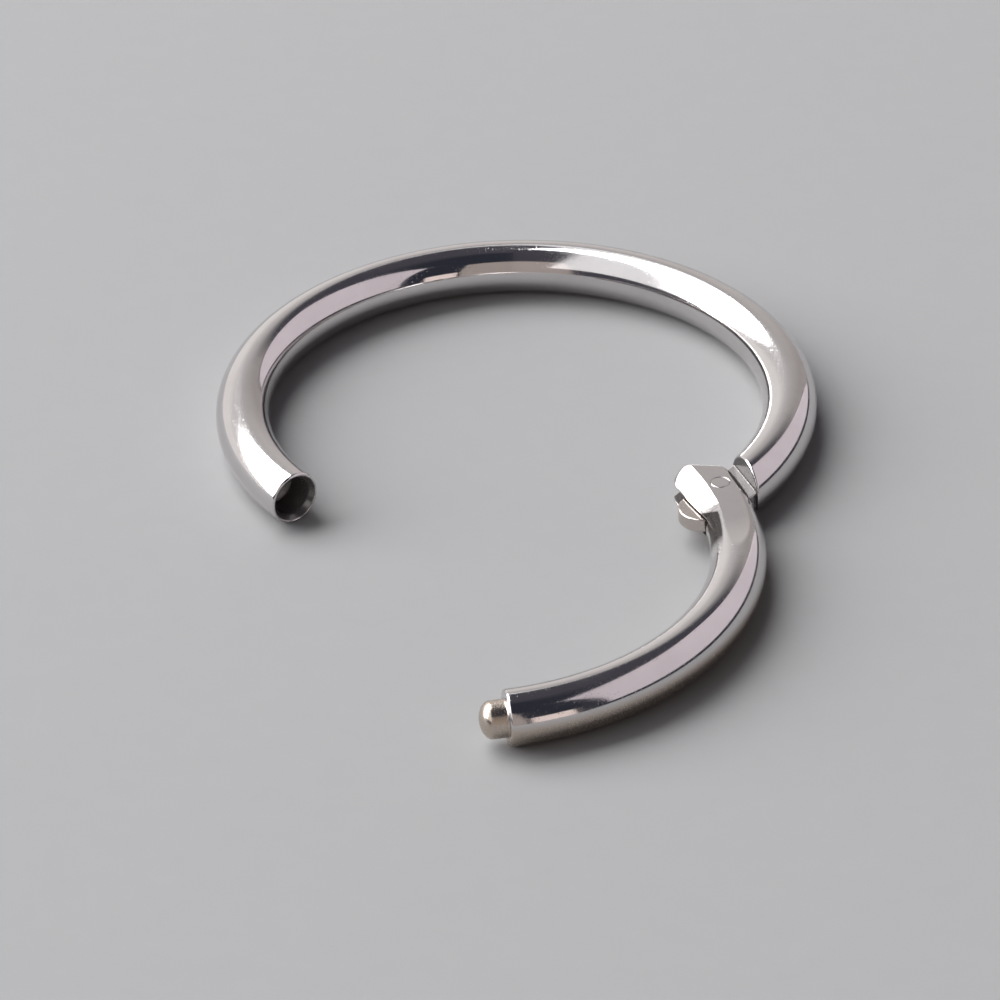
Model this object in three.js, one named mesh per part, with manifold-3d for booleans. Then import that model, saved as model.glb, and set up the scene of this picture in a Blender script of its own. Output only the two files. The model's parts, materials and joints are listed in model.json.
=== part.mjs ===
// Hinged segment ring: a hoop of round wire whose front segment swings out on a pin.
// Millimetres, +Z up. The ring lies flat with its segment open, and the hinge axis is vertical.
import * as THREE from 'three';
import { mergeVertices } from 'three/addons/utils/BufferGeometryUtils.js';
import Module from 'manifold-3d';

const wasm = await Module();
wasm.setup();

// Driving dimensions: the wire and the ring
const wireDiameter = 1.2;
const innerDiameter = 11;
const segmentArc = 97.8; // degrees of the ring from the pin to the segment's free end
const openAngle = 62.4; // degrees that the segment stands open at rest
const pinBearing = -44.6; // degrees round the ring from +X to the pin
const wireSides = 24;
const arcStep = 4; // degrees of ring for each straight step of the wire

// Driving dimensions: the hinge, a flat tongue on the ring between two cheeks on the segment
const noseRadius = 0.64 * wireDiameter; // rounds the outer corner of the cheeks about the pin
const noseSlant = 24.4; // degrees, where the cheeks' slanted end leaves that round
const tongueThickness = 0.26 * wireDiameter;
const tongueHalfWidth = 0.44 * wireDiameter;
const tongueEnd = 0.9 * wireDiameter; // past the pin
const tongueRoot = 1.25 * wireDiameter; // sunk into the full wire behind the shoulder
const slotRadius = 0.95 * wireDiameter;
const flatDepth = 0.06 * wireDiameter; // ground off the top and bottom of the cheeks
const flatReach = 2 * wireDiameter;
const pinDiameter = 0.42;
const runningGap = 0.03;
const pressGap = 0.01;

// Driving dimensions: the stub on the free end and the socket that takes it
const stubRadius = 0.328 * wireDiameter;
const stubLength = 0.26 * wireDiameter;
const stubDome = 0.21 * wireDiameter;
const stubRoot = 0.4 * wireDiameter;
const stubGap = 0.04;
const closureGap = 0.04;
const mouthRadius = 0.45 * wireDiameter;
const mouthDepth = 0.14 * wireDiameter;
const boreDepth = 0.62 * wireDiameter;
const drillPoint = 0.14 * wireDiameter;
const endChamfer = 0.04 * wireDiameter;
const entrySteps = 11;
const entryStep = 0.5; // degrees between the places where the entering stub is cut free

const wireRadius = wireDiameter / 2;
const ringRadius = (innerDiameter + wireDiameter) / 2;
const boreRadius = stubRadius + stubGap;
const roundSides = 32;
const mergeDistance = 1e-5;
const rad = THREE.MathUtils.degToRad;

const polishedSteel = { color: 0xc9c6c6, metalness: 1, roughness: 0.08 };

// The hinge frame: the pin is the Z axis, +X runs along the closed ring to its shoulder, +Y points
// to the ring's centre, and Z = 0 is the surface that the ring lies on.
function ringPoint(arc) {
  return new THREE.Vector3(ringRadius * Math.sin(arc), ringRadius * (1 - Math.cos(arc)), wireRadius);
}

function arcOf(length) {
  return length / ringRadius;
}

class WirePath extends THREE.Curve {
  constructor(fromArc, toArc) {
    super();
    this.fromArc = fromArc;
    this.toArc = toArc;
  }

  getPoint(t, target = new THREE.Vector3()) {
    return target.copy(ringPoint(THREE.MathUtils.lerp(this.fromArc, this.toArc, t)));
  }
}

function isThin(a, b, c) {
  return a === b || b === c || c === a;
}

function toSolid(geometry) {
  const bare = geometry.clone();
  bare.deleteAttribute('normal');
  bare.deleteAttribute('uv');
  const merged = mergeVertices(bare, mergeDistance);
  const corners = merged.index.array;
  const triangles = [];
  for (let i = 0; i < corners.length; i += 3) {
    const [a, b, c] = [corners[i], corners[i + 1], corners[i + 2]];
    if (!isThin(a, b, c)) triangles.push(a, b, c);
  }
  return new wasm.Manifold(new wasm.Mesh({
    numProp: 3,
    vertProperties: new Float32Array(merged.attributes.position.array),
    triVerts: new Uint32Array(triangles),
  }));
}

function toMesh(name, solid) {
  const { vertProperties, triVerts } = solid.getMesh();
  const geometry = new THREE.BufferGeometry();
  geometry.setAttribute('position', new THREE.BufferAttribute(vertProperties, 3));
  geometry.setIndex(new THREE.BufferAttribute(triVerts, 1));
  geometry.computeVertexNormals();
  const mesh = new THREE.Mesh(geometry, new THREE.MeshStandardMaterial(polishedSteel));
  mesh.name = name;
  return mesh;
}

// The wire's section has a flat side down, so the ring rests on a flat strip.
function wireArc(fromArc, toArc) {
  const cornerRadius = wireRadius / Math.cos(Math.PI / wireSides);
  const corners = [];
  for (let i = 0; i < wireSides; i += 1) {
    const turn = (2 * Math.PI * (i + 0.5)) / wireSides;
    corners.push(new THREE.Vector2(cornerRadius * Math.cos(turn), cornerRadius * Math.sin(turn)));
  }
  const steps = Math.round((toArc - fromArc) / rad(arcStep));
  const extrudePath = new WirePath(fromArc, toArc);
  return toSolid(new THREE.ExtrudeGeometry(new THREE.Shape(corners), { steps, extrudePath }));
}

// A plate cut to an outline in the hinge frame, between two heights
function plate(outline, low, high) {
  const geometry = new THREE.ExtrudeGeometry(outline, {
    depth: high - low,
    bevelEnabled: false,
    curveSegments: roundSides / 2,
  });
  return toSolid(geometry.translate(0, 0, low));
}

function upright(radius, low, high) {
  const geometry = new THREE.CylinderGeometry(radius, radius, high - low, roundSides);
  return toSolid(geometry.rotateX(Math.PI / 2).translate(0, 0, (low + high) / 2));
}

// A turned form standing on the wire's end at an arc, with its axis pointing back along the ring,
// swung about the pin
function turnedOnEnd(profile, arc, swing = 0) {
  const points = profile.map(([radius, height]) => new THREE.Vector2(radius, height));
  const geometry = new THREE.LatheGeometry(points, roundSides);
  const axis = new THREE.Vector3(-Math.cos(arc), -Math.sin(arc), 0);
  geometry.applyQuaternion(new THREE.Quaternion().setFromUnitVectors(new THREE.Vector3(0, 1, 0), axis));
  const place = ringPoint(arc);
  return toSolid(geometry.translate(place.x, place.y, place.z).rotateZ(swing));
}

// The end of the cheeks seen from above: round about the pin on the ring's outer side, then
// straight and slanted out to the inner side. The region runs from that line to farX.
function noseOutline(radius, farX) {
  const reach = 1.2 * wireDiameter;
  const slant = -rad(noseSlant);
  const along = (reach - radius * Math.sin(slant)) / Math.cos(slant);
  const outline = new THREE.Shape();
  outline.moveTo(0, -radius);
  outline.absarc(0, 0, radius, -Math.PI / 2, slant, false);
  outline.lineTo(radius * Math.cos(slant) - along * Math.sin(slant), reach);
  outline.lineTo(farX, reach);
  outline.lineTo(farX, -reach);
  outline.lineTo(0, -reach);
  return outline;
}

function tongueOutline() {
  const quarter = Math.PI / 2;
  const rootArc = arcOf(tongueRoot);
  const endArc = -arcOf(tongueEnd - tongueHalfWidth);
  const centre = ringPoint(endArc);
  const outline = new THREE.Shape();
  outline.absarc(0, ringRadius, ringRadius + tongueHalfWidth, endArc - quarter, rootArc - quarter, false);
  outline.absarc(0, ringRadius, ringRadius - tongueHalfWidth, rootArc - quarter, endArc - quarter, true);
  outline.absarc(centre.x, centre.y, tongueHalfWidth, endArc + quarter, endArc + 3 * quarter, false);
  return outline;
}

function slotOutline() {
  const outline = new THREE.Shape();
  outline.moveTo(2 * slotRadius, -slotRadius);
  outline.lineTo(2 * slotRadius, slotRadius);
  outline.absarc(0, 0, slotRadius, Math.PI / 2, 1.5 * Math.PI, false);
  return outline;
}

// The stub: a short cylinder with a domed end, grown all round by a gap where it cuts its own way in
function stub(grow, swing = 0) {
  const radius = stubRadius + grow;
  const shoulder = stubLength + grow;
  const domeSteps = 5;
  const profile = [[0, -stubRoot], [radius, -stubRoot]];
  for (let i = 0; i < domeSteps; i += 1) {
    const turn = (Math.PI / 2) * (i / domeSteps);
    profile.push([radius * Math.cos(turn), shoulder + stubDome * Math.sin(turn)]);
  }
  profile.push([0, shoulder + stubDome]);
  return turnedOnEnd(profile, -rad(segmentArc), swing);
}

function rimChamfer(arc) {
  const slack = 0.5 * endChamfer;
  const edge = wireRadius - endChamfer;
  const far = wireRadius + 2 * endChamfer;
  const profile = [[edge - slack, slack], [far, edge - far], [far, slack], [edge - slack, slack]];
  return turnedOnEnd(profile, arc);
}

function socket(arc) {
  const profile = [
    [0, -mouthDepth],
    [mouthRadius, -mouthDepth],
    [mouthRadius, 0],
    [boreRadius, mouthDepth],
    [boreRadius, boreDepth],
    [0, boreDepth + drillPoint],
  ];
  return turnedOnEnd(profile, arc);
}

// The way that the stub takes into the socket as the segment swings shut
function stubEntry() {
  let way = stub(stubGap);
  for (let i = 1; i < entrySteps; i += 1) {
    way = way.add(stub(stubGap, rad(i * entryStep)));
  }
  return way;
}

function mainRing() {
  const socketArc = 2 * Math.PI - rad(segmentArc) - arcOf(closureGap);
  const tongueLow = wireRadius - tongueThickness / 2;
  const clearNose = noseOutline(noseRadius + runningGap, -2 * wireDiameter);
  return wireArc(0, socketArc)
    .subtract(plate(clearNose, -wireRadius, 3 * wireRadius))
    .add(plate(tongueOutline(), tongueLow, tongueLow + tongueThickness))
    .subtract(upright(pinDiameter / 2 + runningGap, 0, wireDiameter))
    .subtract(socket(socketArc))
    .subtract(stubEntry());
}

function hingeSegment() {
  const tipArc = -rad(segmentArc);
  const slotHeight = tongueThickness + 2 * runningGap;
  const slotLow = wireRadius - slotHeight / 2;
  const pastNose = noseOutline(noseRadius, 3 * wireDiameter);
  return wireArc(tipArc, arcOf(1.5 * wireDiameter))
    .subtract(plate(pastNose, -wireRadius, 3 * wireRadius))
    .subtract(plate(slotOutline(), slotLow, slotLow + slotHeight))
    .subtract(upright(flatReach, wireDiameter - flatDepth, 2 * wireDiameter))
    .subtract(upright(flatReach, -wireDiameter, flatDepth))
    .subtract(upright(pinDiameter / 2 + pressGap, 0, wireDiameter))
    .subtract(rimChamfer(tipArc))
    .add(stub(0));
}

function hingePin() {
  return upright(pinDiameter / 2, flatDepth + pressGap, wireDiameter - flatDepth - pressGap);
}

const ring = new THREE.Group();
ring.rotation.z = rad(pinBearing + 90);
ring.add(toMesh('main_ring', mainRing()));

const leaf = new THREE.Group();
leaf.rotation.z = rad(openAngle);
leaf.add(toMesh('hinge_segment', hingeSegment()));
leaf.add(toMesh('hinge_pin', hingePin()));
ring.add(leaf);

// The origin is the middle of the open ring's box, on the surface that it lies on.
const box = new THREE.Box3().setFromObject(ring, true);
const middle = box.getCenter(new THREE.Vector3());
ring.position.set(-middle.x, -middle.y, -box.min.z);

const hingedSegmentRing = new THREE.Group();
hingedSegmentRing.add(ring);

export default hingedSegmentRing;
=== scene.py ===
import json
import math

import bmesh
import bpy
import numpy as np
import openvdb
from mathutils import Matrix, Vector


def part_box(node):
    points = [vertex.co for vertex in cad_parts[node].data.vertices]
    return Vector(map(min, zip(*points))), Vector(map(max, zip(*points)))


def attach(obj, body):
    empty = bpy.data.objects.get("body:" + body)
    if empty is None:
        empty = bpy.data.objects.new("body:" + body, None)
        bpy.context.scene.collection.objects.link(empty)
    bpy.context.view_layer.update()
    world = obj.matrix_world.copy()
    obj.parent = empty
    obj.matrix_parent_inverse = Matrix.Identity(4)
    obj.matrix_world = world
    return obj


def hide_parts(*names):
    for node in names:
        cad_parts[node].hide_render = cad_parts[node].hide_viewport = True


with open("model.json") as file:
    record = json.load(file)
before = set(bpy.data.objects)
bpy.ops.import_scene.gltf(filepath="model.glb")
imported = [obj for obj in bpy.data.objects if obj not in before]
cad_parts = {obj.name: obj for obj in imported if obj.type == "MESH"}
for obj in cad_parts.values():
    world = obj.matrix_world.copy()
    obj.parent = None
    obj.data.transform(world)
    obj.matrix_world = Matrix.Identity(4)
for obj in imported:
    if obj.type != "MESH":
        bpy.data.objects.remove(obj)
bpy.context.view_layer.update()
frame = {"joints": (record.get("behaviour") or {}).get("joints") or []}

# Sizes in this script are millimetres, and scene units are metres.
mmPerMetre = 1000.0

# The ring as the frame gives it: the wire, the hoop's circle and the hinge
hinge = frame["joints"][0]
ringLow, ringHigh = [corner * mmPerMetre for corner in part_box("main_ring")]
wireRadius = (ringHigh.z - ringLow.z) / 2
wireDiameter = 2 * wireRadius
outerRadius = (ringHigh.x - ringLow.x) / 2
ringCentre = Vector(((ringLow.x + ringHigh.x) / 2, ringHigh.y - outerRadius))
pinPlace = Vector(hinge["pos_m"][:2]) * mmPerMetre
ringRadius = (pinPlace - ringCentre).length
hingeTurn = math.atan2(pinPlace.y - ringCentre.y, pinPlace.x - ringCentre.x) + math.pi / 2
openAngle = math.radians(-hinge["range_deg"][0])
print("frame: wire %.2f mm, ring radius %.2f mm, open %.1f degrees"
      % (wireDiameter, ringRadius, math.degrees(openAngle)))

# Sizes that the pieces share, in wire diameters or degrees
fit = {
    "segmentArc": 97.8,  # from the pin to the segment's free end
    "closureGap": 0.033,
    "noseRadius": 0.64,  # rounds the cheeks' outer corner about the pin
    "noseSlant": 24.4,
    "runningGap": 0.025,
    "tongueThickness": 0.26,
    "pinRadius": 0.175,
}
segmentArc = math.radians(fit["segmentArc"])
noseRadius = fit["noseRadius"] * wireDiameter
noseSlant = math.radians(fit["noseSlant"])
runningGap = fit["runningGap"] * wireDiameter
pinRadius = fit["pinRadius"] * wireDiameter
tongueHalf = fit["tongueThickness"] * wireDiameter / 2
slotHalf = tongueHalf + runningGap


# A piece's sizes in millimetres. Its dictionary gives them as plain numbers of wire diameters.
def inMm(sizes):
    return {key: value * wireDiameter for key, value in sizes.items() if isinstance(value, float)}


def linearColour(hexColour):
    channels = [int(hexColour[i:i + 2], 16) / 255 for i in (1, 3, 5)]
    linear = [c / 12.92 if c <= 0.04045 else ((c + 0.055) / 1.055) ** 2.4 for c in channels]
    return (*linear, 1.0)


def addNode(tree, kind, links=None, **settings):
    node = tree.nodes.new(kind)
    for name, value in settings.items():
        setattr(node, name, value)
    for socket, value in (links or {}).items():
        if isinstance(value, bpy.types.NodeSocket):
            tree.links.new(value, node.inputs[socket])
        else:
            node.inputs[socket].default_value = value
    return node


def newMaterial(name):
    material = bpy.data.materials.new(name)
    material.use_nodes = True
    material.node_tree.nodes.clear()
    return material, material.node_tree


def perMm(size):
    return mmPerMetre / size  # texture scale for features of this size, on coordinates in metres


def mixColours(tree, factor, first, second):
    firstInput, secondInput, result = 6, 7, 2  # the Mix node's sockets for colours
    node = addNode(tree, "ShaderNodeMix", {
        "Factor": factor, firstInput: first, secondInput: second}, data_type="RGBA")
    return node.outputs[result]


def mapRange(tree, value, given, wanted):
    node = addNode(tree, "ShaderNodeMapRange", {
        "Value": value, "From Min": given[0], "From Max": given[1],
        "To Min": wanted[0], "To Max": wanted[1]})
    return node.outputs["Result"]


# Shapes are fields: distance to the surface in millimetres, negative inside the metal.
# The hinge frame has the pin as its z axis, x along the closed ring and y to the ring's centre.
def roundMax(a, b, radius):
    corner = np.hypot(np.maximum(a + radius, 0), np.maximum(b + radius, 0))
    return np.minimum(np.maximum(a, b), -radius) + corner


def roundMin(a, b, radius):
    return -roundMax(-a, -b, radius)


def wireField(p):
    return np.hypot(np.hypot(p[0], p[1] - ringRadius) - ringRadius, p[2] - wireRadius) - wireRadius


def arcAlong(p, start):
    arc = np.arctan2(p[0], ringRadius - p[1])
    return np.where(arc < start, arc + 2 * math.pi, arc)


# Axial and radial place about the wire's end at an arc, with the axial place growing along the ring
def aboutEnd(p, arc, endArc):
    fromCentre = np.hypot(p[0], p[1] - ringRadius)
    turn = np.clip(arc - endArc, -math.pi / 2, math.pi / 2)
    axial = fromCentre * np.sin(turn)
    lateral = fromCentre * np.cos(turn) - ringRadius
    return axial, np.hypot(lateral, p[2] - wireRadius)


# The plan of the cheeks' end: round about the pin, then straight and slanted to the inner side
def noseField(p):
    x, y = p[0], p[1]
    along = x * math.sin(noseSlant) + y * math.cos(noseSlant)
    across = x * math.cos(noseSlant) - y * math.sin(noseSlant)
    roundPart = np.where(x > 0, np.hypot(x, y), -y)
    return np.where(along > 0, across, roundPart) - noseRadius


def onWire(along, lateral, height):
    arc = along / ringRadius
    reach = ringRadius + lateral
    return np.array([reach * np.sin(arc), ringRadius - reach * np.cos(arc), height])


def slopeOf(field, p):
    nudge = 1e-4
    slope = np.empty_like(p)
    for axis in range(3):
        step = np.zeros((3, 1))
        step[axis] = nudge
        slope[axis] = (field(p + step) - field(p - step)) / (2 * nudge)
    return slope


# Moves points onto a field's surface, by no more than the longest step in each round
def settle(field, p, longest, rounds=6):
    leastSlope = 0.2
    for _ in range(rounds):
        distance = field(p)
        slope = slopeOf(field, p)
        move = distance / np.maximum((slope ** 2).sum(0), leastSlope)
        p = p - np.clip(move, -longest, longest) * slope
    return p


emptyLayers = 4  # of a grid, past the end of a piece


# A stretch of a field's surface along the wire, on a grid of this step. An open end leaves a loop of
# points for the plain wire, and swell makes room past the wire on its inner side.
def fieldBlock(field, start, end, step, openStart=False, openEnd=False, swell=0):
    margin = 3 * step
    along = np.arange(start, end + step / 2, step)
    lateral = np.arange(-wireRadius - swell - margin, wireRadius + margin + step / 2, step)
    height = np.arange(-margin, wireDiameter + margin + step / 2, step)
    grids = np.meshgrid(along, lateral, height, indexing="ij")
    values = field(onWire(*[g.ravel() for g in grids])).reshape(grids[0].shape)
    values[0] = np.maximum(values[0], step)
    values[-1] = np.maximum(values[-1], step)
    grid = openvdb.FloatGrid(1.0)
    grid.copyFromArray(values.astype(np.float32))
    points, quads = grid.convertToQuads(isovalue=0.0)
    quads = quads.astype(np.int64)
    layer = points[:, 0]
    keep = np.ones(len(quads), bool)
    lastLayer = len(along) - 2
    if openStart:
        keep &= (layer[quads] > 1).all(1)
    if openEnd:
        keep &= (layer[quads] < lastLayer).all(1)
    quads = quads[keep]
    used, compact = np.unique(quads, return_inverse=True)
    quads = compact.reshape(-1, 4)
    places = [along[0], lateral[0], height[0]] + points[used] * step
    p = settle(field, onWire(*places.T), step / 2)
    loops = [edgeLoop(p, quads)] if openStart or openEnd else []
    return p, quads.tolist(), loops


def roundAngle(p):
    return np.arctan2(p[2] - wireRadius, np.hypot(p[0], p[1] - ringRadius) - ringRadius)


def sortedLoop(p, members):
    return members[np.argsort(roundAngle(p[:, members]))]


# The open edge of a block, walked round the wire in the sense of growing angle
def edgeLoop(p, quads):
    sides = np.concatenate([quads[:, [corner, (corner + 1) % 4]] for corner in range(4)])
    sides, uses = np.unique(np.sort(sides, axis=1), axis=0, return_counts=True)
    beside = {}
    for a, b in sides[uses == 1].tolist():
        beside.setdefault(a, []).append(b)
        beside.setdefault(b, []).append(a)
    angles = roundAngle(p)
    loop = [min(beside, key=lambda point: angles[point])]
    loop.append(min(beside[loop[0]], key=lambda point: angles[point]))
    while len(loop) < len(beside):
        ahead, other = beside[loop[-1]]
        loop.append(other if ahead == loop[-2] else ahead)
    return np.array(loop)


# Triangles between two loops of points that go round the wire in the same sense
def zipLoops(p, loopA, loopB):
    turn = 2 * math.pi
    anglesA = np.unwrap(roundAngle(p[:, loopA]))
    anglesB = np.unwrap(roundAngle(p[:, loopB]))
    anglesA = np.append(anglesA, anglesA[0] + turn)
    anglesB = np.append(anglesB, anglesB[0] + turn)
    faces = []
    i = j = 0
    while i < len(loopA) or j < len(loopB):
        a, b = loopA[i % len(loopA)], loopB[j % len(loopB)]
        if j == len(loopB) or (i < len(loopA) and anglesA[i + 1] <= anglesB[j + 1]):
            i += 1
            faces.append([a, loopA[i % len(loopA)], b])
        else:
            j += 1
            faces.append([a, loopB[j % len(loopB)], b])
    return faces


# Geometry Nodes: the plain wire, a round section swept along an arc of the hoop
def sweptWireTree():
    tree = bpy.data.node_groups.new("sweptWire", "GeometryNodeTree")
    sockets = {}
    for name, kind in (("Ring Radius", "NodeSocketFloat"), ("Wire Radius", "NodeSocketFloat"),
                       ("Start Angle", "NodeSocketFloat"), ("Sweep Angle", "NodeSocketFloat"),
                       ("Steps", "NodeSocketInt"), ("Sides", "NodeSocketInt"),
                       ("Finish", "NodeSocketMaterial")):
        sockets[name] = tree.interface.new_socket(name, in_out="INPUT", socket_type=kind).identifier
    tree.interface.new_socket("Wire", in_out="OUTPUT", socket_type="NodeSocketGeometry")
    given = addNode(tree, "NodeGroupInput").outputs
    path = addNode(tree, "GeometryNodeCurveArc", {
        "Resolution": given["Steps"], "Radius": given["Ring Radius"],
        "Start Angle": given["Start Angle"], "Sweep Angle": given["Sweep Angle"]})
    section = addNode(tree, "GeometryNodeCurvePrimitiveCircle", {
        "Resolution": given["Sides"], "Radius": given["Wire Radius"]})
    swept = addNode(tree, "GeometryNodeCurveToMesh", {
        "Curve": path.outputs["Curve"], "Profile Curve": section.outputs["Curve"]})
    realized = addNode(tree, "GeometryNodeRealizeInstances", {"Geometry": swept.outputs["Mesh"]})
    finished = addNode(tree, "GeometryNodeSetMaterial", {
        "Geometry": realized.outputs["Geometry"], "Material": given["Finish"]})
    addNode(tree, "NodeGroupOutput", {"Wire": finished.outputs["Geometry"]})
    return tree, sockets


plainWire = {
    "sides": 112,
    "stepLength": 0.11,  # mm of wire for each ring of the section
}
wireTree, wireSockets = sweptWireTree()


def sweptWire(startArc, endArc, finish):
    steps = int((endArc - startArc) * ringRadius / plainWire["stepLength"])
    holder = bpy.data.objects.new("wireHolder", bpy.data.meshes.new("wireHolder"))
    bpy.context.scene.collection.objects.link(holder)
    modifier = holder.modifiers.new("wire", "NODES")
    modifier.node_group = wireTree
    values = {"Ring Radius": ringRadius, "Wire Radius": wireRadius,
              "Start Angle": startArc - math.pi / 2, "Sweep Angle": endArc - startArc,
              "Steps": steps, "Sides": plainWire["sides"], "Finish": finish}
    for name, value in values.items():
        modifier[wireSockets[name]] = value
    graph = bpy.context.evaluated_depsgraph_get()
    mesh = bpy.data.meshes.new_from_object(holder.evaluated_get(graph))
    holder.modifiers.remove(modifier)
    bpy.data.objects.remove(holder)
    points = np.array([v.co for v in mesh.vertices]).T + np.array([[0], [ringRadius], [wireRadius]])
    faces = [list(face.vertices) for face in mesh.polygons]
    slack = 0.1  # radians
    arcs = arcAlong(points, min(startArc, 0) - slack)
    bpy.data.meshes.remove(mesh)
    near = plainWire["stepLength"] / ringRadius / 2
    loops = [sortedLoop(points, np.nonzero(np.abs(arcs - arc) < near)[0]) for arc in (startArc, endArc)]
    return points, faces, loops


# Joins blocks and wire end to end into one closed skin. Each stretch gives points, faces and loops.
def joinStretches(stretches):
    allPoints, allFaces, openLoops = [], [], []
    count = 0
    for points, faces, loops in stretches:
        allPoints.append(points)
        allFaces += [[corner + count for corner in face] for face in faces]
        openLoops += [loop + count for loop in loops]
        count += points.shape[1]
    points = np.concatenate(allPoints, axis=1)
    for first, second in zip(openLoops[0::2], openLoops[1::2]):
        allFaces += zipLoops(points, first, second)
    return points, allFaces


# Turns the joined skin into a piece: doubles merged, faces outwards, normals from the field itself.
# The attribute holds the place along and around the wire, and a value for dull finish and painted shade:
# above 0 the place is dark, partly as sawn or drilled and partly as painted shade; below 0 it takes the
# tumbled colour, satin on the stub and painted shade on the tongue and the underside.
def finishPiece(name, points, faces, field, turn, finish, finishAndShade=None):
    doubleDistance = 0.002
    mesh = bpy.data.meshes.new(name)
    mesh.from_pydata(points.T.tolist(), [], faces)
    work = bmesh.new()
    work.from_mesh(mesh)
    bmesh.ops.remove_doubles(work, verts=work.verts, dist=doubleDistance)
    bmesh.ops.dissolve_degenerate(work, edges=work.edges, dist=doubleDistance / 4)
    bmesh.ops.recalc_face_normals(work, faces=work.faces)
    work.to_mesh(mesh)
    work.free()
    points = np.array([v.co for v in mesh.vertices]).T
    normals = slopeOf(field, points)
    normals /= np.linalg.norm(normals, axis=0)
    spin = Matrix.Rotation(turn, 4, "Z")
    mesh.transform(Matrix.Scale(1 / mmPerMetre, 4) @ Matrix.Translation((*pinPlace, 0)) @ spin)
    place = mesh.attributes.new("wirePlace", "FLOAT_VECTOR", "POINT")
    around = roundAngle(points) * wireRadius
    along = np.arctan2(points[0], ringRadius - points[1]) * ringRadius
    dullAndShade = finishAndShade(points) if finishAndShade else 0 * along
    place.data.foreach_set("vector", np.stack([along, around, dullAndShade], 1).ravel().astype(np.float32))
    mesh.shade_smooth()
    mesh.normals_split_custom_set_from_vertices((np.array(spin.to_3x3()) @ normals).T.tolist())
    mesh.materials.append(finish)
    piece = bpy.data.objects.new(name, mesh)
    bpy.context.scene.collection.objects.link(piece)
    print("%s: %d points, %d faces" % (name, len(mesh.vertices), len(mesh.polygons)))
    return piece


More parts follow.
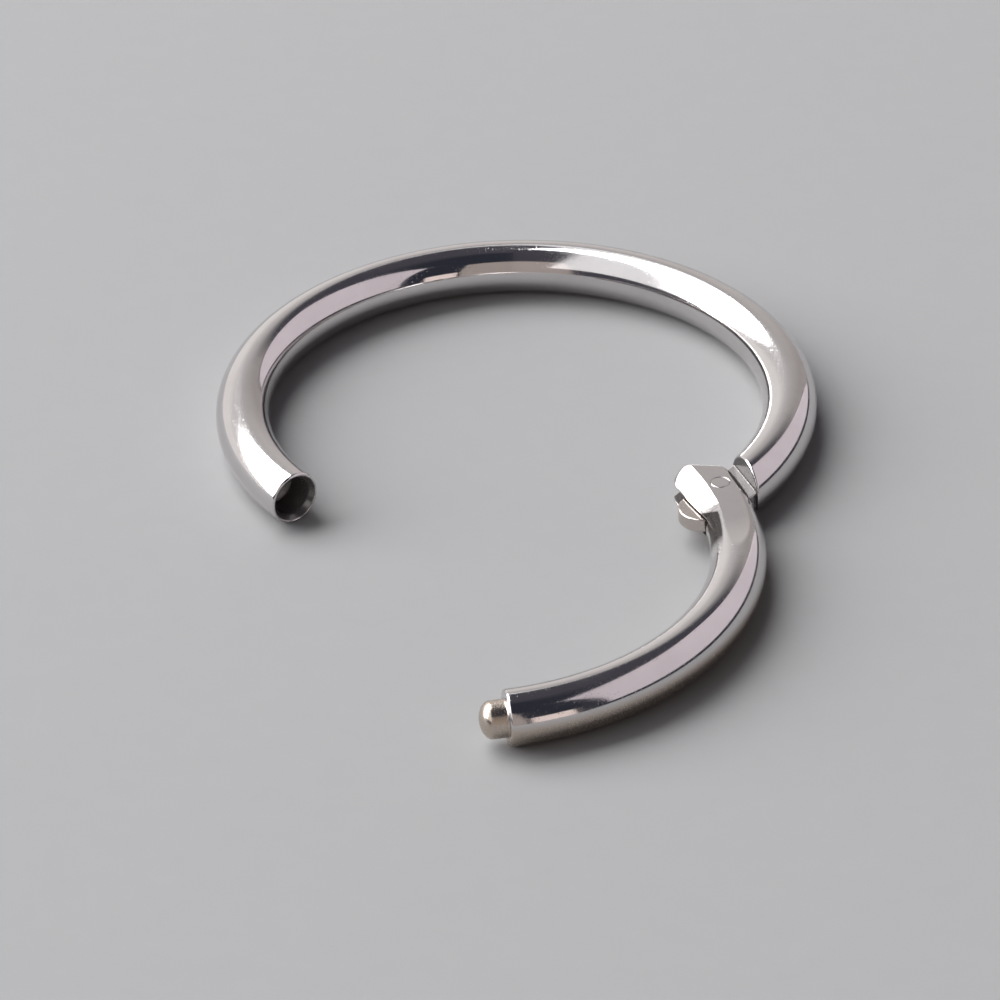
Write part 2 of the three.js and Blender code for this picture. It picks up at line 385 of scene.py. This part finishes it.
# Mirror-polished stainless steel: drawn wire, tumbled and buffed, so it shows the room almost
# cleanly, with fine pits and specks, a little haze where it was handled and faint lines round the wire.
# Drilled and sawn places that the buff can't reach stay dull, darker and a little brown; this dark colour
# is also painted shade in the bore, the shoulder's hollow, the slot and two streaks on the segment's
# inner flank.
# The stub is only tumbled, and its sandy colour is also painted shade on the tongue and the segment's
# underside.
def polishedSteel():
    look = {
        "steel": "#d9d6d6",
        "handled": "#c6c2c2",
        "unpolishedAndShade": "#292524",
        "tumbledAndShade": "#c0b2a4",
        "roughness": (0.05, 0.13),
        "unpolishedRoughness": 0.24,
        # the painted shade takes this metallic value too
        "unpolishedMetallic": 0.4,  # sawn and drilled places keep a dark film
        "filmShine": 0.15,
        "hazeSize": 1.6,  # mm, like the sizes and depths below
        "hazeRange": (0.35, 0.75),
        "speckSize": 0.03,
        "speckRange": (0.50, 0.74),
        "speckRoughness": 0.11,
        "pitSize": 0.08,  # from pit to pit
        "pitWidth": 0.19,  # share of that distance
        "pitDepth": 0.006,
        "pitStrength": 0.2,
        "lineSize": 0.05,
        "lineSlimness": 0.06,  # width over length
        "lineDepth": 0.02,
        "lineStrength": 0.012,
    }
    material, tree = newMaterial("polishedStainlessSteel")
    coords = addNode(tree, "ShaderNodeTexCoord")
    place = addNode(tree, "ShaderNodeAttribute", attribute_name="wirePlace")
    haze = addNode(tree, "ShaderNodeTexNoise", {
        "Vector": coords.outputs["Object"], "Scale": perMm(look["hazeSize"]),
        "Detail": 5.0, "Roughness": 0.62})
    colour = mixColours(tree, haze.outputs["Fac"],
                        linearColour(look["steel"]), linearColour(look["handled"]))
    roughness = mapRange(tree, haze.outputs["Fac"], look["hazeRange"], look["roughness"])
    dullAndShade = addNode(tree, "ShaderNodeSeparateXYZ", {"Vector": place.outputs["Vector"]}).outputs["Z"]
    tumbledAndShade = addNode(tree, "ShaderNodeMath", {0: dullAndShade, 1: -1.0}, operation="MULTIPLY")
    # the tumbled colour is the stub's satin finish and also painted shade on the tongue and the underside
    tumbledAndShadedColour = mixColours(tree, tumbledAndShade.outputs[0], colour, linearColour(look["tumbledAndShade"]))
    # the dark colour is the dull sawn and drilled finish and also painted shade in recesses and on the
    # flank
    dullAndShadedColour = mixColours(tree, dullAndShade, tumbledAndShadedColour, linearColour(look["unpolishedAndShade"]))
    satin = addNode(tree, "ShaderNodeMath", {0: dullAndShade}, operation="ABSOLUTE")
    wornRoughness = addNode(tree, "ShaderNodeMix", {
        "Factor": satin.outputs[0], "A": roughness, "B": look["unpolishedRoughness"]})
    bareMetal = mapRange(tree, dullAndShade, (0.0, 1.0), (1.0, look["unpolishedMetallic"]))
    specks = addNode(tree, "ShaderNodeTexNoise", {
        "Vector": coords.outputs["Object"], "Scale": perMm(look["speckSize"]), "Detail": 2.0})
    speckRoughness = mapRange(tree, specks.outputs["Fac"],
                              look["speckRange"], (0.0, look["speckRoughness"]))
    grainyRoughness = addNode(tree, "ShaderNodeMath", {0: wornRoughness.outputs[0], 1: speckRoughness})
    pits = addNode(tree, "ShaderNodeTexVoronoi", {
        "Vector": coords.outputs["Object"], "Scale": perMm(look["pitSize"])})
    pitHeight = mapRange(tree, pits.outputs["Distance"], (0.0, look["pitWidth"]), (0.0, 1.0))
    perLine = 1 / look["lineSize"]
    stretch = addNode(tree, "ShaderNodeMapping", {
        "Vector": place.outputs["Vector"], "Scale": (perLine, look["lineSlimness"] * perLine, 1.0)})
    lines = addNode(tree, "ShaderNodeTexNoise", {
        "Vector": stretch.outputs["Vector"], "Scale": 1.0, "Detail": 3.0})
    linesBump = addNode(tree, "ShaderNodeBump", {
        "Height": lines.outputs["Fac"], "Strength": look["lineStrength"],
        "Distance": look["lineDepth"] / mmPerMetre})
    pitsBump = addNode(tree, "ShaderNodeBump", {
        "Height": pitHeight, "Strength": look["pitStrength"],
        "Distance": look["pitDepth"] / mmPerMetre, "Normal": linesBump.outputs["Normal"]})
    shader = addNode(tree, "ShaderNodeBsdfPrincipled", {
        "Metallic": bareMetal, "Base Color": dullAndShadedColour, "Roughness": grainyRoughness.outputs[0],
        "Specular IOR Level": look["filmShine"], "Normal": pitsBump.outputs["Normal"]})
    addNode(tree, "ShaderNodeOutputMaterial", {"Surface": shader.outputs["BSDF"]})
    return material


# The pin's ends: the same steel ground flush, so a little duller and lined across
def groundPinSteel():
    look = {
        "steel": "#cfcbca",
        "roughness": 0.16,
        "lineSize": 0.03,  # mm, like the depth below
        "lineSlimness": 0.08,  # width over length
        "lineDepth": 0.01,
        "lineStrength": 0.05,
    }
    material, tree = newMaterial("groundPinSteel")
    coords = addNode(tree, "ShaderNodeTexCoord")
    perLine = perMm(look["lineSize"])
    stretch = addNode(tree, "ShaderNodeMapping", {
        "Vector": coords.outputs["Object"], "Scale": (perLine, look["lineSlimness"] * perLine, 1.0)})
    lines = addNode(tree, "ShaderNodeTexNoise", {"Vector": stretch.outputs["Vector"], "Scale": 1.0})
    bump = addNode(tree, "ShaderNodeBump", {
        "Height": lines.outputs["Fac"], "Strength": look["lineStrength"],
        "Distance": look["lineDepth"] / mmPerMetre})
    shader = addNode(tree, "ShaderNodeBsdfPrincipled", {
        "Metallic": 1.0, "Base Color": linearColour(look["steel"]), "Roughness": look["roughness"],
        "Normal": bump.outputs["Normal"]})
    addNode(tree, "ShaderNodeOutputMaterial", {"Surface": shader.outputs["BSDF"]})
    return material


steelFinish = polishedSteel()
pinFinish = groundPinSteel()
print("materials made")

# Main ring: the hoop, with the hinge's tongue at its start and the socket at its far end.
# Sizes of the pieces are in wire diameters.
mainRing = {
    "tongueHalfWidth": 0.44,
    "tongueEnd": 0.90,  # past the pin
    "tongueEdge": 0.02,
    "shoulderEdge": 0.05,
    "rimEdge": 0.05,
    "boreEdge": 0.025,
    "boreRadius": 0.361,
    "boreDepth": 0.62,
    "drillPoint": 0.14,
    "mouthRadius": 0.45,
    "mouthDepth": 0.14,
    "hingeReach": 3.05,  # the tongue and shoulder shape nothing past this
    "hingeStretch": 1.8,  # wire modelled on a grid, at the hinge and at the socket
    "socketStretch": 1.3,
    "gridStep": 0.020,
    "polishedLip": 0.012,  # the buff reaches this far into the socket
    # the bore, hollow and tongue values paint shade as well as dull finish
    "dullAndShade": {"bore": 0.76, "hollow": 0.95, "tongueRoot": 0.4, "tongue": -0.5},  # as in finishPiece
}
socketArc = 2 * math.pi - segmentArc - fit["closureGap"] * wireDiameter / ringRadius


def socketField(axialDepth, radial):
    s = inMm(mainRing)
    flare = (s["mouthRadius"] - s["boreRadius"]) / s["mouthDepth"]
    mouth = (radial - s["mouthRadius"] + flare * axialDepth) / math.hypot(1, flare)
    point = s["drillPoint"] / s["boreRadius"]
    bottom = (axialDepth - s["boreDepth"] - s["drillPoint"] + point * radial) / math.hypot(1, point)
    return roundMin(mouth, np.maximum(radial - s["boreRadius"], bottom), s["boreEdge"])


def mainRingField(p):
    s = inMm(mainRing)
    arc = arcAlong(p, -segmentArc / 2)
    axial, radial = aboutEnd(p, arc, socketArc)
    body = roundMax(wireField(p), axial, s["rimEdge"])
    body = roundMax(body, -socketField(-axial, radial), s["boreEdge"])
    along = arc * ringRadius
    nearHinge = np.abs(along) < s["hingeReach"]
    hollow = np.where(nearHinge, runningGap - noseField(p), -wireDiameter)
    body = roundMax(body, hollow, s["shoulderEdge"])
    lateral = np.hypot(p[0], p[1] - ringRadius) - ringRadius
    roundEnd = np.maximum(s["tongueHalfWidth"] - s["tongueEnd"] - along, 0)
    plan = np.hypot(roundEnd, lateral) - s["tongueHalfWidth"]
    flat = np.abs(p[2] - wireRadius) - tongueHalf
    tongue = np.where(nearHinge, roundMax(plan, flat, s["tongueEdge"]), wireDiameter)
    body = roundMin(body, tongue, s["tongueEdge"])
    return np.maximum(body, pinRadius + runningGap - np.hypot(p[0], p[1]))


# The bore stays as drilled and the shoulder's hollow as sawn, and both also take the dark colour as
# painted shade in these recesses. The tongue takes the tumbled colour as painted shade under the cheek,
# and is darker at its root beside the shoulder, also painted shade.
def mainRingDullAndShade(p):
    s = inMm(mainRing)
    dullAndShade = mainRing["dullAndShade"]
    lip = s["polishedLip"]
    arc = arcAlong(p, -segmentArc / 2)
    axial, radial = aboutEnd(p, arc, socketArc)
    # painted shade: the bore takes the dark colour, as drilled and as shade inside the hole
    inBore = (np.abs(axial) < wireDiameter) & (-axial > lip) & (socketField(-axial, radial) < lip)
    nearHinge = np.abs(arc) * ringRadius < s["hingeReach"]
    fromHollow = noseField(p) - runningGap
    onTongue = nearHinge & (fromHollow < -runningGap / 2)
    # painted shade: the shoulder's hollow takes the dark colour, as sawn and as shade between the parts
    inShadedHollow = nearHinge & (fromHollow < runningGap / 2)
    # painted shade: the tongue takes the tumbled colour for shade under the cheek, and the dark colour at
    # its root
    tongueShade = np.where(arc > 0, dullAndShade["tongueRoot"], dullAndShade["tongue"])
    hingeDullAndShade = np.where(onTongue, tongueShade, np.where(inShadedHollow, dullAndShade["hollow"], 0.0))
    return np.where(inBore, dullAndShade["bore"], hingeDullAndShade)


def makeMainRing():
    s = inMm(mainRing)
    step = s["gridStep"]
    spare = emptyLayers * step
    hingeEnd = fieldBlock(mainRingField, -s["tongueEnd"] - spare, s["hingeStretch"], step, openEnd=True)
    socketAlong = socketArc * ringRadius
    socketEnd = fieldBlock(mainRingField, socketAlong - s["socketStretch"], socketAlong + spare, step,
                           openStart=True)
    wire = sweptWire((s["hingeStretch"] + step) / ringRadius,
                     socketArc - (s["socketStretch"] + step) / ringRadius, steelFinish)
    points, faces = joinStretches([hingeEnd, wire, socketEnd])
    return finishPiece("polishedHoop", points, faces, mainRingField, hingeTurn, steelFinish,
                       mainRingDullAndShade)


hoop = makeMainRing()

# Hinge segment: the arc that swings, with the forked and flattened hinge end and the stub on its tip
hingeSegment = {
    "noseEdge": 0.12,
    "fingertip": (0.375, 0.30),  # middle of the round that the nose ends in, seen from above
    "fingertipRadius": 0.5,
    "fingertipEdge": 0.08,
    "swellStart": -0.75,  # the inner flank swells and flattens from here along the wire to the nose
    "swellEnd": 0.3,
    "swellWidth": 0.22,
    "flatDepth": 0.06,
    "flatStart": 1.2,  # the ground flats run out between these two distances from the pin
    "flatEnd": 2.5,
    "flatEdge": 0.008,
    "flatRise": 0.03,  # the flats' run-out ends this high above the wire
    "slotRadius": 0.95,
    "slotEdge": 0.035,
    "tipEdge": 0.045,
    "stubRadius": 0.335,
    "stubLength": 0.26,
    "stubDome": 0.21,
    "stubRoot": 0.30,
    "stubFillet": 0.02,
    "hingeReach": 4.07,  # the nose shapes nothing past this
    "hingeStretch": 2.7,  # wire modelled on a grid, at the hinge and at the tip
    "tipStretch": 0.6,
    "gridStep": 0.020,
    "streakStart": -0.45,  # the dark streaks start here beside the slot, and further on beside the flats
    "streakSlant": 0.45,
    "streakEdge": 0.06,
    "streakEnd": -2.3,
    "streakFade": 0.6,
    "streakInset": 0.25,  # from the wire's middle line to the inner side
    "insetEdge": 0.04,
    "streakParting": 0.03,  # from the wire's mid height to each streak
    "partingEdge": 0.12,
    "flankHeight": 0.29,
    "undersideTop": 0.64,
    "undersideFade": 0.125,
    # the slot and underside values paint shade; the stub's value is its tumbled finish
    "dullAndShade": {"slot": 0.9, "stub": -0.85, "undersideShade": -0.85},  # as in finishPiece
}
tipArc = -segmentArc


def stubField(axial, radial):
    s = inMm(hingeSegment)
    leastSteep = 1e-6
    shaft = np.maximum(radial - s["stubRadius"], -axial - s["stubRoot"])
    past = np.maximum(axial - s["stubLength"], 0)
    scaled = np.hypot(radial / s["stubRadius"], past / s["stubDome"])
    steep = np.hypot(radial / s["stubRadius"] ** 2, past / s["stubDome"] ** 2)
    dome = scaled * (scaled - 1) / np.maximum(steep, leastSteep)
    return np.where(past > 0, dome, shaft)


# The nose seen from above: the shared plan with its inner corner rounded like the tip of a finger
def roundedNose(p):
    middleX, middleY = [place * wireDiameter for place in hingeSegment["fingertip"]]
    radius = hingeSegment["fingertipRadius"] * wireDiameter
    inward = p[1] - middleY + np.minimum(p[0], 0)
    tip = np.hypot(np.maximum(p[0] - middleX, 0), np.maximum(inward, 0)) - radius
    return roundMax(noseField(p), tip, hingeSegment["fingertipEdge"] * wireDiameter)


# The wire with its inner flank swollen at the nose, like the tip of a thumb
def swollenWire(p, arc):
    s = inMm(hingeSegment)
    pointed, onset = 0.4, 0.6
    lateral = np.hypot(p[0], p[1] - ringRadius) - ringRadius
    above = np.abs(p[2] - wireRadius) / wireRadius
    swell = np.clip((arc * ringRadius - s["swellStart"]) / (s["swellEnd"] - s["swellStart"]), 0, 1)
    swell = np.sin(swell * math.pi / 2)
    inward = np.maximum(-lateral, 0) / (wireRadius + s["swellWidth"] * swell)
    power = 2 - pointed * swell ** onset  # 2 is a round section, and less is more pointed
    section = (inward ** power + above ** power) ** (1 / power) - 1
    return np.where((lateral < 0) & (swell > 0), section * wireRadius, wireField(p))


def segmentField(p):
    s = inMm(hingeSegment)
    arc = arcAlong(p, -math.pi)
    fromPin = np.hypot(p[0], p[1])
    above = np.abs(p[2] - wireRadius)
    ease = np.clip((fromPin - s["flatStart"]) / (s["flatEnd"] - s["flatStart"]), 0, 1)
    flatDepth = s["flatDepth"] - (s["flatDepth"] + s["flatRise"]) * ease * ease * (2 - ease)
    body = roundMax(swollenWire(p, arc), above - wireRadius + flatDepth, s["flatEdge"])
    nearHinge = np.abs(arc) * ringRadius < s["hingeReach"]
    body = roundMax(body, np.where(nearHinge, roundedNose(p), -wireDiameter), s["noseEdge"])
    slotPlan = np.where(p[0] < 0, fromPin, np.abs(p[1])) - s["slotRadius"]
    slot = np.maximum(above - slotHalf, slotPlan)
    body = roundMax(body, -slot, s["slotEdge"])
    body = np.maximum(body, pinRadius - fromPin)
    axial, radial = aboutEnd(p, arc, tipArc)
    body = roundMax(body, -axial, s["tipEdge"])
    return roundMin(body, stubField(-axial, radial), s["stubFillet"])


# The slot stays as sawn, and its dark colour is also painted shade between the cheeks. Two dark streaks
# that run from the nose down the inner flank are painted shade, where the flank reflects the shadowed
# floor.
# The stub was turned and only tumbled, and the underside takes the tumbled colour as painted shade,
# darker towards the bottom.
def segmentDullAndShade(p):
    s = inMm(hingeSegment)
    dullAndShade = hingeSegment["dullAndShade"]
    skin = 0.01  # mm, how near a face counts as on it
    arc = arcAlong(p, -math.pi)
    along = arc * ringRadius
    lateral = np.hypot(p[0], p[1] - ringRadius) - ringRadius
    above = np.abs(p[2] - wireRadius)
    nearSlot = (np.abs(along) < s["hingeStretch"]) & (np.hypot(p[0], p[1]) < s["slotRadius"])
    # painted shade: the slot takes the dark colour, as sawn and as shade between the cheeks
    inSlot = nearSlot & (above < slotHalf + skin)
    # painted shade: two dark streaks down the inner flank, where it reflects the shadowed floor under the
    # nose
    upFlank = np.clip((above - slotHalf) / s["flankHeight"], 0, 1)
    startPlace = s["streakStart"] - s["streakSlant"] * upFlank
    pastStart = np.clip((startPlace - along) / s["streakEdge"], 0, 1)
    beforeEnd = np.clip((along - s["streakEnd"]) / s["streakFade"], 0, 1)
    onFlank = np.clip((-lateral - s["streakInset"]) / s["insetEdge"], 0, 1)
    offMiddle = np.clip((above - s["streakParting"]) / s["partingEdge"], 0, 1)
    shadeStreak = beforeEnd * pastStart * onFlank * offMiddle
    # painted shade: the underside takes the tumbled colour, darker towards the bottom
    undersideShade = dullAndShade["undersideShade"] * np.clip((s["undersideTop"] - p[2]) / s["undersideFade"], 0, 1)
    flankShade = np.where(shadeStreak > 0, shadeStreak, undersideShade)
    axial, radial = aboutEnd(p, arc, tipArc)
    onStub = (-axial > skin) & (radial < s["stubRadius"] + skin)
    return np.where(onStub, dullAndShade["stub"], np.where(inSlot, dullAndShade["slot"], flankShade))


def makeHingeSegment():
    s = inMm(hingeSegment)
    step = s["gridStep"]
    tipAlong = tipArc * ringRadius
    stubReach = s["stubLength"] + s["stubDome"] + emptyLayers * step
    tip = fieldBlock(segmentField, tipAlong - stubReach, tipAlong + s["tipStretch"], step, openEnd=True)
    noseReach = noseRadius / math.cos(noseSlant) + wireRadius
    fork = fieldBlock(segmentField, -s["hingeStretch"], noseReach, step, openStart=True,
                      swell=s["swellWidth"])
    wire = sweptWire(tipArc + (s["tipStretch"] + step) / ringRadius,
                     -(s["hingeStretch"] + step) / ringRadius, steelFinish)
    points, faces = joinStretches([tip, wire, fork])
    return finishPiece("polishedSegment", points, faces, segmentField, hingeTurn + openAngle, steelFinish,
                       segmentDullAndShade)


segment = makeHingeSegment()

# Hinge pin: pressed through the cheeks and ground flush with their flats
hingePin = {"endEdge": 0.010, "gridStep": 0.016, "flushGap": 0.001}


def pinField(p):
    s = inMm(hingePin)
    halfLength = wireRadius - hingeSegment["flatDepth"] * wireDiameter - s["flushGap"]
    end = np.abs(p[2] - wireRadius) - halfLength
    return roundMax(np.hypot(p[0], p[1]) - pinRadius + s["flushGap"], end, s["endEdge"])


def makeHingePin():
    step = hingePin["gridStep"] * wireDiameter
    reach = pinRadius + emptyLayers * step
    points, faces, _ = fieldBlock(pinField, -reach, reach, step)
    return finishPiece("groundPin", points, faces, pinField, hingeTurn + openAngle, pinFinish)


pin = makeHingePin()

for piece, node, body, slot in ((hoop, "main_ring", "ring", "polished_steel"),
                                (segment, "hinge_segment", "segment", "polished_steel"),
                                (pin, "hinge_pin", "segment", "pin_steel")):
    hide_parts(node)
    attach(piece, body)
print("pieces ride on their bodies")


# The stage: a matte card floor, soft studio panels and a dark room above
def cardFloor():
    look = {"card": "#8d8d8e", "fleck": "#8a8a8b", "fleckSize": 0.7, "roughness": 0.85, "shine": 0.2}
    material, tree = newMaterial("matteCard")
    coords = addNode(tree, "ShaderNodeTexCoord")
    fleck = addNode(tree, "ShaderNodeTexNoise", {
        "Vector": coords.outputs["Object"], "Scale": perMm(look["fleckSize"]), "Detail": 4.0})
    colour = mixColours(tree, fleck.outputs["Fac"],
                        linearColour(look["card"]), linearColour(look["fleck"]))
    shader = addNode(tree, "ShaderNodeBsdfPrincipled", {
        "Base Color": colour, "Roughness": look["roughness"], "Specular IOR Level": look["shine"]})
    addNode(tree, "ShaderNodeOutputMaterial", {"Surface": shader.outputs["BSDF"]})
    return material


def makeFloor():
    reach = 2000 / mmPerMetre
    mesh = bpy.data.meshes.new("floor")
    corners = [(-reach, -reach, 0), (reach, -reach, 0), (reach, reach, 0), (-reach, reach, 0)]
    mesh.from_pydata(corners, [], [(0, 1, 2, 3)])
    mesh.materials.append(cardFloor())
    floor = bpy.data.objects.new("floor", mesh)
    bpy.context.scene.collection.objects.link(floor)


makeFloor()

# Studio panels: where the middle of each stands, the way that its width runs, the way that it
# faces, its width and height, and its light. The lilac wall is far off, so it only shows in the steel.
panels = {
    "whiteRoof": {"place": (-1326, 84, 315), "across": (0.978, -0.207, 0), "faces": (0, 0, -1),
                  "size": (2500, 1150), "radiance": 1.05, "colour": "#ffffff"},
    "whiteKey": {"place": (-486, 227, 450), "across": (0.701, 0.505, 0.503),
                 "faces": (0.694, -0.324, -0.643), "size": (1176, 538),
                 "radiance": 7.5, "colour": "#ffffff"},
    "lilacWall": {"place": (300, 108, 310), "across": (0, 1, 0), "faces": (-1, 0, 0),
                  "size": (684, 540), "radiance": 0.82, "colour": "#f5eaee", "lightsFloor": False},
    "pinkCard": {"place": (215, -337, 72), "across": (0.843, 0.537, 0), "faces": (-0.537, 0.843, 0),
                 "size": (105, 145), "radiance": 1.1, "colour": "#f8e6de"},
    "warmFront": {"place": (-20, -600, 350), "across": (1, 0, 0), "faces": (0, 1, 0),
                  "size": (560, 700), "radiance": 0.42, "colour": "#ffeee0"},
}


def makePanel(name, panel):
    light = bpy.data.lights.new(name, "AREA")
    light.shape = "RECTANGLE"
    light.size, light.size_y = [side / mmPerMetre for side in panel["size"]]
    light.energy = panel["radiance"] * math.pi * light.size * light.size_y
    light.color = linearColour(panel["colour"])[:3]
    lamp = bpy.data.objects.new(name, light)
    behind = -Vector(panel["faces"]).normalized()
    upright = behind.cross(Vector(panel["across"])).normalized()
    axes = Matrix((upright.cross(behind), upright, behind)).transposed().to_4x4()
    lamp.matrix_world = Matrix.Translation(Vector(panel["place"]) / mmPerMetre) @ axes
    lamp.visible_camera = False
    lamp.visible_diffuse = panel.get("lightsFloor", True)
    bpy.context.scene.collection.objects.link(lamp)


for panelName, panelSizes in panels.items():
    makePanel(panelName, panelSizes)


# The room behind the panels: the pale floor sweeps up at the back, and the rest is dark
room = {
    "sweepLow": "#fdf9f7",
    "sweepHigh": "#dad8d7",
    "sweepRight": "#b1acaa",
    "darkBack": "#4d4c54",
    "darkFront": "#32353f",
    "sweepTop": (34, 43),  # degrees up from the back floor line, where the sweep ends
    "sweepSide": (31, 36),  # degrees from the back to the right, where it ends behind the lilac wall
    "sweepRise": (20, 31),  # degrees up, from the low colour to the high one
    "sweepTurn": (-15, 25),  # degrees, from the left colours to the right one
    "darkTurn": (40, 100),
}


def makeRoom():
    world = bpy.data.worlds.new("room")
    world.use_nodes = True
    tree = world.node_tree
    tree.nodes.clear()
    coords = addNode(tree, "ShaderNodeTexCoord")
    split = addNode(tree, "ShaderNodeSeparateXYZ", {"Vector": coords.outputs["Generated"]})

    def ramp(towards, edges, ends=(0.0, 1.0)):
        angle = addNode(tree, "ShaderNodeMath", {0: split.outputs[towards], 1: split.outputs["Y"]},
                        operation="ARCTAN2")
        return mapRange(tree, angle.outputs[0], [math.radians(edge) for edge in edges], ends)

    sweepLeft = mixColours(tree, ramp("Z", room["sweepRise"]),
                           linearColour(room["sweepLow"]), linearColour(room["sweepHigh"]))
    sweep = mixColours(tree, ramp("X", room["sweepTurn"]), sweepLeft, linearColour(room["sweepRight"]))
    inSweep = addNode(tree, "ShaderNodeMath", {
        0: ramp("Z", room["sweepTop"], (1.0, 0.0)), 1: ramp("X", room["sweepSide"], (1.0, 0.0))},
        operation="MULTIPLY")
    dark = mixColours(tree, ramp("X", room["darkTurn"]),
                      linearColour(room["darkBack"]), linearColour(room["darkFront"]))
    colour = mixColours(tree, inSweep.outputs[0], dark, sweep)
    back = addNode(tree, "ShaderNodeBackground", {"Color": colour})
    addNode(tree, "ShaderNodeOutputWorld", {"Surface": back.outputs["Background"]})
    bpy.context.scene.world = world


makeRoom()
bpy.context.scene.view_settings.view_transform = "Standard"

# The camera: the photograph's angle, with a long lens, from the ring's near side
view = {
    "stand": (-0.415, -100.53, 62.89),  # mm from the ring's centre
    "elevation": 32.82,
    "roll": -1.45,
    "lens": 190.8,
}


def makeCamera():
    camera = bpy.data.cameras.new("camera")
    camera.lens = view["lens"]
    camera.sensor_width = 36.0
    camera.clip_start = 0.001
    eye = bpy.data.objects.new("camera", camera)
    stand = Vector((ringCentre.x, ringCentre.y, 0)) + Vector(view["stand"])
    tilt = Matrix.Rotation(math.pi / 2 - math.radians(view["elevation"]), 4, "X")
    roll = Matrix.Rotation(math.radians(view["roll"]), 4, "Z")
    eye.matrix_world = Matrix.Translation(stand / mmPerMetre) @ tilt @ roll
    bpy.context.scene.collection.objects.link(eye)
    bpy.context.scene.camera = eye


makeCamera()
print("stage set")
